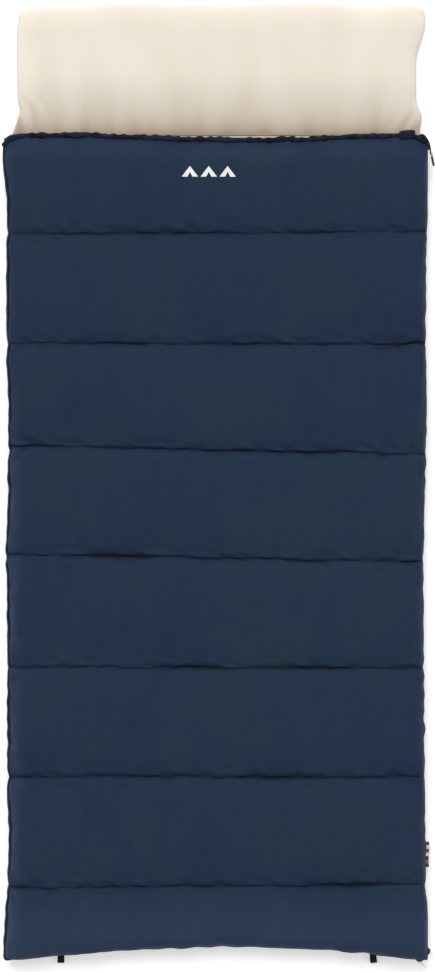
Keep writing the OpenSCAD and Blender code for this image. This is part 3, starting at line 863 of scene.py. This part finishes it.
# %% The head section's height
head_crown = head_high.z + 0.016
head_edge_z = neck_seam_z - 0.002
from_left = head_x - left_x[:, None]
from_right = right_x[:, None] - head_x
from_top = (head_top_y - reach_y)[:, None]
from_neck = (reach_y - head_foot_y)[:, None]
rim = edge_round(np.minimum(from_left, from_right), 0.055) * edge_round(from_top, 0.06)
slope = 0.10 + 0.90 * soft_step(from_neck, -0.015, 0.15)
left_fold = np.exp(-np.hypot(from_left - 0.02, from_neck - 0.03) / 0.035)
left_fold = left_fold * np.cos((from_left + 0.55 * from_neck - 0.045) / 0.0065)
right_fold = np.exp(-np.hypot(from_right - 0.012, from_neck - 0.03) / 0.03)
right_fold = right_fold * np.cos((from_right + 0.5 * from_neck - 0.035) / 0.006)
gathers = np.exp(-from_neck / 0.07) * ripples(head_x, 0.25 * head_y, 0.06, 94, 12)
swell = rim * slope * (1 + 0.05 * ripples(head_x, head_y, 0.19, 93, 9))
swell = swell + rim * (0.20 * left_fold + 0.13 * right_fold + 0.030 * gathers)
swell = swell + 0.02 * (1 - rim) * rim * ripples(head_x, head_y, 0.04, 95, 10)
head_top = head_edge_z + (head_crown - head_edge_z) * swell
head_under = head_edge_z * (1 - np.clip(1.6 * rim, 0, 1))
print(f"head section: crown {head_top.max() * 1000:.0f} mm")

# %% Make the head section
# painted shade on the cream cotton: darker towards the neck seam under the cover's edge, along the top edge
# and in the folds and gathers; the last term is uneven mottling of the cotton's own tone
shade_reach = 0.045 * (1.15 - 0.35 * np.abs(head_x) / 0.49)
shade = np.exp(-(from_neck / shade_reach) ** 0.85) + 0.06 * (1 - from_neck / head_length)
shade = shade + 0.10 * np.exp(-from_top / 0.06)
shade = shade + 0.12 * np.clip(-gathers, 0, 2) + 0.30 * np.clip(-left_fold - right_fold, 0, 1)
shade = shade + 0.04 * (1 + ripples(head_x, 0.35 * head_y, 0.13, 97, 12)) * rim
cushion = pad("head_cushion", head_x, head_y, head_top - 0.0012 * inside(head_x.shape), head_under,
              outer_cloth)
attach(cushion, "head_section")
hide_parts("head_shell", "head_fill")
grow_x = (head_low.x + head_high.x) / 2 + (head_x - (head_low.x + head_high.x) / 2) * 1.0015
grow_y = reach_y.mean() + (head_y - reach_y.mean()) * 1.003
head_cloth = cloth_sheet("head_lining_cloth", grow_x, grow_y, head_top - 0.0003, 0.0009, lining_cloth)
# paints the head section's shade into the cotton's colour
paint(head_cloth, "crease", shade)
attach(head_cloth, "head_section")
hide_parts("head_lining")

# %% The piping in the neck seam
seam_low, seam_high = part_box("neck_seam")
seam_x = np.linspace(seam_low.x, seam_high.x, 320)
seam_centres = np.stack([seam_x, neck_seam_y + 0.0003 * ripples(seam_x, 0, 0.03, 101, 6),
                         neck_seam_z + 0.0003 * ripples(seam_x, 1, 0.04, 102, 6)], axis=-1)
seam_radius = (0.0015 + 0.00012 * np.cos(2 * np.pi * seam_x / 0.0042))[:, None, None]
unit_y = np.tile([0.0, 1.0, 0.0], (len(seam_x), 1))
unit_z = np.tile([0.0, 0.0, 1.0], (len(seam_x), 1))
piping = swept("neck_piping", ring_points(seam_centres, unit_y, unit_z, seam_radius, seam_radius, 10),
               lining_cloth)
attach(piping, "head_section")
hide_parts("neck_seam")

# %% [markdown]
# ## The zips
# Both zips stand upright in the gap between the two layers. Each half is a woven tape, sewn to its
# layer, and a nylon coil, one long thread wound round the tape's edge. Every turn of the coil is a real
# turn here: a helix, flattened across the zip, with a pitch of 2.4 mm.

# %% Places along a zip
def at_side(along, out, up):
    """Points on the side zip: along the bag, out from the zip's plane, and up from the zip's middle."""
    along, out, up = np.broadcast_arrays(along, out, up)
    return np.stack([side_zip_x + zip_drift(along) + out, along, zip_z + up], axis=-1)


def at_foot(along, out, up):
    """Points on the foot zip, in the same way. Outwards is towards the foot."""
    along, out, up = np.broadcast_arrays(along, out, up)
    return np.stack([along, foot_zip_line(along) - out, zip_z + up], axis=-1)


def zip_tape(name, place, direction, body, node):
    """One woven tape: it stands from the coil to its layer's edge seam and leans in a little there. At
    the foot corner the lower tapes stand taller, and close the corner."""
    low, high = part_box(node)
    start, stop = (foot_zip_y, high.y) if place is at_side else (low.x, side_zip_x)
    along = np.linspace(start, stop, 900)[:, None]
    share = np.linspace(0, 1, 8)[None, :]
    edge_z = cover_edge_z if direction > 0 else base_edge_z
    to_corner = along - start if place is at_side else stop - along
    taller = (direction < 0) * (1 - soft_step(to_corner, 0.0052, 0.0066))
    low_rise = 0.0030 - 0.0125 * taller
    rise = direction * (low_rise + (abs(edge_z - zip_z) - 0.0002 - low_rise) * share)
    calm = soft_step(to_corner, 0.0, 0.006)
    lean = 0.0004 - 0.0020 * share**2 + 0.0002 * ripples(along, 3 * share, 0.03, 112, 6)
    from_end = stop - along if place is at_side else along - start
    lean = lean * calm - 0.0012 * taller * calm - 0.0055 * (1 - soft_step(from_end, 0.0, 0.008))
    points = place(along, lean, rise)
    outward_up = (place is at_side) == (direction > 0)
    tape = curved_sheet(name, points[::-1] if outward_up else points, 0.0007, tape_cloth)
    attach(tape, body)
    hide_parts(node)


def zip_coil(name, place, direction, body, node, start, stop, pitch=0.0024, steps=9):
    """One coil. Its thread's centre runs round an ellipse 2.6 mm by 2.8 mm as it goes along the zip."""
    turns = round((stop - start) / pitch)
    t = np.linspace(0, turns, turns * steps + 1)
    angle = 2 * np.pi * t
    along = start + (stop - start) * t / turns
    out, up = 1.28 * np.cos(angle) / 1000, (2.62 + 1.42 * np.sin(angle)) / 1000
    centres = place(along, out, direction * up)
    ahead = np.gradient(centres, axis=0)
    ahead /= np.linalg.norm(ahead, axis=1, keepdims=True)
    radial = place(along, out + 0.001 * np.cos(angle), direction * (up + 0.001 * np.sin(angle))) - centres
    radial /= np.linalg.norm(radial, axis=1, keepdims=True)
    side = np.cross(ahead, radial)
    radius = 0.00040
    coil = swept(name, ring_points(centres, radial, side, radius, radius, 5)[:, ::-1], coil_nylon)
    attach(coil, body)
    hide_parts(node)
    return coil


# %% Make both zips
lower_side, upper_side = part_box("side_coil_lower"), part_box("side_coil_upper")
lower_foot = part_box("foot_coil_lower")
side_ends = (lower_side[0].y, lower_side[1].y)
foot_ends = (lower_foot[0].x, lower_foot[1].x)
zip_tape("side_tape_below", at_side, -1, "bottom_layer", "side_tape_lower")
zip_tape("side_tape_above", at_side, 1, "cover", "side_tape_upper")
zip_tape("foot_tape_below", at_foot, -1, "bottom_layer", "foot_tape_lower")
zip_tape("foot_tape_above", at_foot, 1, "cover", "foot_tape_upper")
coils = [
    zip_coil("side_coil_below", at_side, -1, "bottom_layer", "side_coil_lower", *side_ends),
    zip_coil("side_coil_above", at_side, 1, "cover", "side_coil_upper", *side_ends),
    zip_coil("foot_coil_below", at_foot, -1, "bottom_layer", "foot_coil_lower", *foot_ends),
    zip_coil("foot_coil_above", at_foot, 1, "cover", "foot_coil_upper", *foot_ends),
]
print("coil faces:", [len(coil.data.polygons) for coil in coils])

# %% [markdown]
# ## Sliders, pulls and stops
# The hard parts keep the frame's exact shapes, because they must slide and turn without touching. Each
# is copied from the frame, its flat faces are made whole again, and its edges are rounded by a bevel, as
# die casting and tumbling leave them.

# %% Bevelled copies of the hard parts
def bevelled(node, name, width, material, shift=None):
    """A copy of a frame node with edges rounded by width. Shift turns its points into moved ones."""
    mesh = frame["nodes"][node].data.copy()
    mesh.name = name
    mesh.materials.clear()
    mesh.materials.append(material)
    if shift:
        places = np.zeros(len(mesh.vertices) * 3, np.float32)
        mesh.vertices.foreach_get("co", places)
        mesh.vertices.foreach_set("co", shift(places.reshape(-1, 3)).astype(np.float32).ravel())
    copy = bpy.data.objects.new(name, mesh)
    bpy.context.scene.collection.objects.link(copy)
    bpy.context.view_layer.objects.active = copy
    bpy.ops.object.select_all(action="DESELECT")
    copy.select_set(True)
    bpy.ops.object.mode_set(mode="EDIT")
    bpy.ops.mesh.select_all(action="SELECT")
    bpy.ops.mesh.remove_doubles(threshold=1e-6)
    bpy.ops.mesh.dissolve_limited(angle_limit=math.radians(2))
    bpy.ops.object.mode_set(mode="OBJECT")
    bevel = copy.modifiers.new("rounded_edges", "BEVEL")
    bevel.width = width
    bevel.segments = 3
    bevel.limit_method = "ANGLE"
    bevel.angle_limit = math.radians(32)
    bevel.use_clamp_overlap = True
    bpy.ops.object.modifier_apply(modifier=bevel.name)
    mesh.polygons.foreach_set("use_smooth", np.ones(len(mesh.polygons), bool))
    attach(copy, frame["nodes"][node]["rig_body"])
    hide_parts(node)


for name in ("neck", "corner", "foot"):
    bevelled(f"{name}_slider", f"{name}_slider_cast", 0.00045, slider_enamel)
    bevelled(f"{name}_pull_tab", f"{name}_pull_plate", 0.00035, pull_nickel)
bevelled("neck_pull_grip", "neck_pull_moulding", 0.0006, grip_rubber)


def onto_foot_zip(points):
    """Points moved square to the foot zip by as much as its line strays there."""
    strayed = foot_zip_line(np.round(points[:, 0], 2)) - foot_zip_y
    return points + np.stack([0 * strayed, strayed, 0 * strayed], axis=-1)


for name in ("side_stops_lower", "side_stops_upper", "foot_stops_lower", "foot_stops_upper"):
    follow = onto_foot_zip if name.startswith("foot") else None
    bevelled(name, name.replace("stops", "stop_clips"), 0.0004, stop_metal, follow)

# %% [markdown]
# ## Trim
# A rolled hem closes the cover's neck edge and crumples along its length. A short tab covers the zip's
# end there, and the tape's loose end curls round the corner. Three plain tents are printed on the chest.
# A small striped label is sewn into the side, and two webbing loops into the foot.

# %% The neck hem
hem_sides = 14
border = np.stack([cover_x[-1], cover_y[-1]], axis=-1)
reach = np.concatenate([[0], np.cumsum(np.linalg.norm(np.diff(border, axis=0), axis=1))])
hem_at = np.linspace(0.001, reach[-1] - 0.001, 560)
hem_xy = np.stack([np.interp(hem_at, reach, border[:, axis]) for axis in range(2)], axis=-1)
hem_xy = hem_xy + 0.0004 * np.stack([0 * hem_at, ripples(hem_at, 5, 0.02, 120, 8)], axis=-1)
hem_ahead = np.gradient(hem_xy, axis=0)
hem_ahead /= np.linalg.norm(hem_ahead, axis=1, keepdims=True)
hem_out = np.stack([-hem_ahead[:, 1], hem_ahead[:, 0], 0 * hem_at], axis=-1)
hem_z = cover_edge_z + 0.0012 + 0.0012 * ripples(hem_at, 0, 0.05, 121, 8)
hem_size = 1 + 0.20 * ripples(hem_at, 0, 0.018, 122, 12) + 0.12 * ripples(hem_at, 3, 0.06, 123, 8)
hem_ends = np.clip(1 - np.abs(2 * hem_at / reach[-1] - 1) ** 90, 0.02, 1)
hem_size = np.clip(hem_size, 0.78, 1.5) * np.sqrt(hem_ends)
hem_centres = np.concatenate([hem_xy, hem_z[:, None]], axis=1) + 0.0022 * hem_out
hem_rings = ring_points(hem_centres, hem_out, np.tile([0.0, 0.0, 1.0], (len(hem_at), 1)),
                        0.0062 * hem_size[:, None, None], 0.0044 * hem_size[:, None, None], hem_sides)
hem = swept("neck_hem_roll", hem_rings, shaded_hem_cloth)
hem_turn = np.linspace(0, 2 * np.pi, hem_sides, endpoint=False)[None, :]
# painted shade in the hem's crumples: darker along fold lines, and a little darker all along
hem_fold_shade = ripples(hem_at[:, None], 0.006 * np.cos(hem_turn), 0.022, 124, 12)
hem_fold_shade = hem_fold_shade + 0.8 * ripples(hem_at[:, None], 0.01 * np.cos(hem_turn), 0.11, 125, 7)
paint(hem, "crease", np.clip(0.25 + 0.75 * hem_fold_shade, 0, 1))
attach(hem, "cover")
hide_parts("neck_hem")

# %% Put shapes on the cover
def laid_on(piece, x, y, gap):
    """Points at x and y, a gap above a piece's surface, found by looking straight down at it."""
    found = []
    for px, py in zip(np.ravel(x), np.ravel(y)):
        hit, place, _, _ = piece.ray_cast((float(px), float(py), 1.0), (0, 0, -1))
        found.append((px, py, (place.z if hit else cover_edge_z) + gap))
    return np.array(found).reshape(*np.shape(x), 3)


def tent_half(left, base, width, height, side):
    """Half of a printed tent, with half of its doorway left out, as a grid of points on the cover."""
    v = np.linspace(0, 1, 18)[:, None]
    u = np.linspace(0, 1, 9)[None, :]
    door = 0.16 * np.clip(1 - v / 0.46, 0, 1)
    outer, inner = 0.5 * v, 0.5 - door
    across = outer + (inner - outer) * u
    across = across if side < 0 else 1 - across
    return laid_on(cover, left + width * across, base + height * v + 0 * u, 0.0004)


motif_low, motif_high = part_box("chest_motif")
tent_step = 0.046
tent_width = motif_high.x - motif_low.x - 2 * tent_step
print_points, print_faces = [], []
for number in range(3):
    for side in (-1, 1):
        grid = tent_half(motif_low.x + number * tent_step, motif_low.y, tent_width,
                         motif_high.y - motif_low.y, side)
        index = np.arange(grid.shape[0] * grid.shape[1]).reshape(grid.shape[:2])
        index += sum(len(points) for points in print_points)
        print_points.append(grid.reshape(-1, 3))
        print_faces.append(quads(index) if side < 0 else quads(index)[:, ::-1])
tents = make_piece("tent_print", np.concatenate(print_points), np.concatenate(print_faces), print_ink)
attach(tents, "cover")
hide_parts("chest_motif")

# %% The closure tab and the tape's loose end
tab_low, tab_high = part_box("closure_tab")
tab_u, tab_v = np.meshgrid(np.linspace(-1, 1, 30), np.linspace(-1, 1, 18))
bulge = np.maximum(np.abs(tab_u), np.abs(tab_v)) / (np.abs(tab_u) ** 5 + np.abs(tab_v) ** 5 + 1e-9) ** 0.2
tab_x = (tab_low.x + tab_high.x) / 2 + 0.020 * tab_u * bulge
tab_y = 0.8515 + 0.0105 * tab_v * bulge + 0.0015 * tab_u
tab_bend = 0.0008 * np.cos(2.5 * tab_v) + 0.0004 * ripples(tab_x, tab_y, 0.02, 131, 6)
tab_z = tab_low.z + 0.0010 + tab_bend - 0.0022 * np.clip(tab_v, 0, 1) ** 2
tab = pad("closure_tab_cloth", tab_x, tab_y, tab_z + 0.0014 * inside(tab_x.shape), tab_z, tab_cloth)
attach(tab, "cover")
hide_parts("closure_tab")

loose_path = np.array([[489, 840], [492, 848], [497, 852], [503.5, 851], [510, 845.5], [516, 836],
                       [520, 825], [522, 813], [522.5, 804]]) / 1000
loose_at = np.linspace(0, len(loose_path) - 1, 70)
loose_xy = cubic_weights(loose_at, np.arange(len(loose_path))) @ loose_path
loose_up = np.linspace(-1, 1, 7)[None, :]
loose_share = loose_at / loose_at[-1]
loose_width = (0.0052 * np.clip(1.25 - 0.75 * loose_share, 0, 1))[:, None]
loose_thick = 0.0030 + 0.0080 * (1 - soft_step(loose_share, 0.25, 0.65))
loose_points = np.stack([
    loose_xy[:, :1] + 0.0008 * loose_up**2, loose_xy[:, 1:] + 0 * loose_up,
    cover_edge_z + 0.0035 + loose_width * loose_up], axis=-1)
loose_end = curved_sheet("tape_loose_end", loose_points, loose_thick[:, None, None], webbing)
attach(loose_end, "cover")

# %% The side label
def banded(name, bands):
    """Cloth woven in bands: each point's "band" number picks its colour from the list."""
    material, tree, shader = new_material(name)
    band = add(tree, "ShaderNodeAttribute", attribute_name="band").outputs["Fac"]
    ramp = add(tree, "ShaderNodeValToRGB", {"Fac": band})
    ramp.color_ramp.interpolation = "CONSTANT"
    for number, colour in enumerate(bands):
        place = number / len(bands)
        stop = ramp.color_ramp.elements[0] if number == 0 else ramp.color_ramp.elements.new(place)
        stop.position, stop.color = place, colour
    ramp.color_ramp.elements.remove(ramp.color_ramp.elements[-1])
    place = add(tree, "ShaderNodeTexCoord").outputs["Object"]
    weave = add(tree, "ShaderNodeTexWave", {"Vector": place, "Scale": 45.0, "Distortion": 0.3},
                bands_direction="Y").outputs["Fac"]
    shade = add(tree, "ShaderNodeCombineColor", {0: calc(tree, "MULTIPLY_ADD", weave, 0.25, 0.78)})
    for socket in (1, 2):
        tree.links.new(calc(tree, "MULTIPLY_ADD", weave, 0.25, 0.78), shade.inputs[socket])
    tree.links.new(mixed(tree, "MULTIPLY", 1.0, ramp.outputs["Color"], shade.outputs[0]),
                   shader.inputs["Base Color"])
    bump = add(tree, "ShaderNodeBump", {"Height": weave, "Strength": 0.4, "Distance": 0.0002})
    tree.links.new(bump.outputs[0], shader.inputs["Normal"])
    shader.inputs["Roughness"].default_value = 0.7
    shader.inputs["Sheen Weight"].default_value = 0.2
    return material


dark_red, off_white, soft_black = tone(120, 26, 34), tone(225, 222, 216), tone(24, 24, 28)
label_bands = [soft_black, tone(110, 112, 118), soft_black, off_white, dark_red, off_white, dark_red]
label_cloth = banded("striped_label", label_bands)
label_low, label_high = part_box("side_label")
label_v = np.linspace(0, 1, 57)[:, None]
label_u = np.linspace(0, 1, 12)[None, :]
label_y = label_low.y + (label_high.y - label_low.y) * label_v
label_x = right_edge(label_y) - 0.004 + 0.0155 * label_u
label_z = 0.0255 + 0.0012 * np.sin(3 * label_u + 2 * label_v) - 0.003 * label_u**2
label = curved_sheet("side_label_cloth", np.stack([label_x, label_y + 0 * label_u, label_z], axis=-1),
                     0.0011, label_cloth)
paint(label, "band", np.tile(label_v * 0.999, (1, label_u.shape[1])))
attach(label, "bottom_layer")
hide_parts("side_label")

# %% The webbing loops
loop_joint = joint["loop_left_swing"]["pos_m"]


def web_band(name, path, x_middle, width, thickness, tilt):
    """A band of webbing along a path of (y, z) points, with rounded selvedges. Tilt turns it in plan
    about its first point."""
    at = np.linspace(0, len(path) - 1, 12 * (len(path) - 1) + 1)
    smooth = cubic_weights(at, np.arange(len(path))) @ np.array(path)
    step = np.gradient(smooth, axis=0)
    step /= np.linalg.norm(step, axis=1, keepdims=True)
    sides = np.array([[-1, 0], [-0.97, 0.7], [-0.9, 1], [0, 1], [0.9, 1], [0.97, 0.7], [1, 0],
                      [0.97, -0.7], [0.9, -1], [0, -1], [-0.9, -1], [-0.97, -0.7]])
    across = sides[None, :, 0] * width / 2
    off = sides[None, :, 1] * thickness / 2
    y = smooth[:, :1] - step[:, 1:] * off
    z = smooth[:, 1:] + step[:, :1] * off
    x = x_middle + across + np.tan(tilt) * (path[0][0] - y)
    y = y + np.sin(tilt) * across
    return swept(name, np.stack([x + 0 * y, y, z], axis=-1), webbing)


loop_width = 0.0165
loop_sides = (("left", "hanging_loop_left", -1, 0.0), ("right", "hanging_loop_right", 1, 0.10))
for name, node, side, tilt in loop_sides:
    x_middle = side * abs(loop_joint[0])
    y0, z0 = loop_joint[1], loop_joint[2]
    path = [(y0 + 0.0010, z0 + 0.0008), (y0 - 0.004, z0 + 0.0026), (y0 - 0.009, z0 + 0.0040),
            (y0 - 0.0125, z0 + 0.0030), (y0 - 0.0140, z0), (y0 - 0.0125, z0 - 0.0030),
            (y0 - 0.009, z0 - 0.0040), (y0 - 0.004, z0 - 0.0026), (y0 + 0.0010, z0 - 0.0008)]
    loop = web_band(f"{name}_loop_band", path, x_middle, loop_width, 0.0013, tilt)
    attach(loop, node)
    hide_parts(node)
    tail = [(y0 - 0.0005, z0), (y0 + 0.007, z0 + 0.001), (y0 + 0.014, z0 + 0.005), (y0 + 0.020, z0 + 0.010)]
    anchor = web_band(f"{name}_loop_tail", tail, x_middle, loop_width, 0.0028, 0.0)
    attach(anchor, "bottom_layer")
    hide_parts("loop_anchors")

# %% [markdown]
# ## The draught tube
# Behind the side zip lies a narrow cushion of lining cloth. It's sewn to the bottom layer and it swells
# between the stitches that hold it.

# %% Make the draught tube
tube_low, tube_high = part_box("draft_tube")
tube_y = np.linspace(tube_low.y, tube_high.y, 420)
tube_swell = 0.86 + 0.10 * ripples(tube_y, 0, 0.05, 141, 10)
tube_way = 2 * (tube_y - tube_low.y) / (tube_high.y - tube_low.y) - 1
tube_swell = np.clip(tube_swell, 0, 1) * np.sqrt(np.clip(1 - tube_way ** 40, 0.01, 1))
tube_centres = np.stack([(tube_low.x + tube_high.x) / 2 + zip_drift(tube_y), tube_y,
                         0 * tube_y + (tube_low.z + tube_high.z) / 2], axis=-1)
tube = swept("draught_tube_cushion", ring_points(
    tube_centres, np.tile([1.0, 0.0, 0.0], (len(tube_y), 1)), np.tile([0.0, 0.0, 1.0], (len(tube_y), 1)),
    (tube_high.x - tube_low.x) / 2 * (0.9 + 0.1 * tube_swell[:, None, None]) - 0.001,
    (tube_high.z - tube_low.z) / 2 * tube_swell[:, None, None], 20)[:, ::-1], lining_cloth)
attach(tube, "bottom_layer")
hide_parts("draft_tube")

# %% [markdown]
# ## Quilting stitches
# A lockstitch runs along every seam: stitches 3.4 mm long, each a short bead of thread that dips into
# the cloth at both ends.

# %% Make the stitches
def stitches(name, paths, up, material, length=0.0034, gap=0.0011, radius=0.00042):
    """Beads of thread along paths of points. Each bead is four rings of four points."""
    centres, ahead = [], []
    for path in paths:
        reach = np.concatenate([[0], np.cumsum(np.linalg.norm(np.diff(path, axis=0), axis=1))])
        at = np.arange(0.006, reach[-1] - 0.006, length + gap)
        middle = np.stack([np.interp(at, reach, path[:, axis]) for axis in range(3)], axis=-1)
        front = np.stack([np.interp(at + length / 2, reach, path[:, axis]) for axis in range(3)], axis=-1)
        centres.append(middle)
        ahead.append(front - middle)
    centres, ahead = np.concatenate(centres), np.concatenate(ahead)
    ahead /= np.linalg.norm(ahead, axis=1, keepdims=True)
    up_way = np.array([0.0, 0.0, up])
    across = np.cross(ahead, up_way)
    across /= np.linalg.norm(across, axis=1, keepdims=True)
    rise = np.cross(across, ahead)
    along = np.array([-0.5, -0.3, 0.3, 0.5]) * length
    size = np.array([0.35, 1.0, 1.0, 0.35]) * radius
    dip = np.array([-0.8, 0.3, 0.3, -0.8]) * radius
    turn = np.array([0.25, 0.75, 1.25, 1.75]) * np.pi
    points = (centres[:, None, None] + along[:, None, None] * ahead[:, None, None]
              + (size[:, None] * np.cos(turn))[None, ..., None] * across[:, None, None]
              + (dip[:, None] + size[:, None] * np.sin(turn))[None, ..., None] * rise[:, None, None])
    count = len(centres)
    bead = np.arange(16).reshape(4, 4)
    faces = quads(bead, around=True).tolist() + [bead[0, ::-1].tolist(), bead[-1].tolist()]
    faces = (np.arange(count)[:, None, None] * 16 + np.array(faces)[None]).reshape(-1, 4)
    return make_piece(name, points.reshape(-1, 3), faces, material)


seam_numbers = [int(np.argmin(np.abs(rows - line))) for line in seam_lines]


def seam_paths(x, y, z, lift):
    """The lines of points along the seams of a layer, a lift above its surface."""
    return [np.stack([x[n], y[n], z[n] + lift], axis=-1)[2:-2] for n in seam_numbers]


stitch_lift = 0.0002
cover_seams = seam_paths(cover_x, cover_y, cover_top, stitch_lift)
cover_stitches = stitches("cover_stitching", cover_seams, 1, thread_cloth)
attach(cover_stitches, "cover")
base_seams = seam_paths(base_x, base_y, base_under, -stitch_lift)
base_stitches = stitches("bottom_stitching", base_seams, -1, thread_cloth)
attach(base_stitches, "bottom_layer")
print(len(cover_stitches.data.polygons), "faces of stitching on the cover")
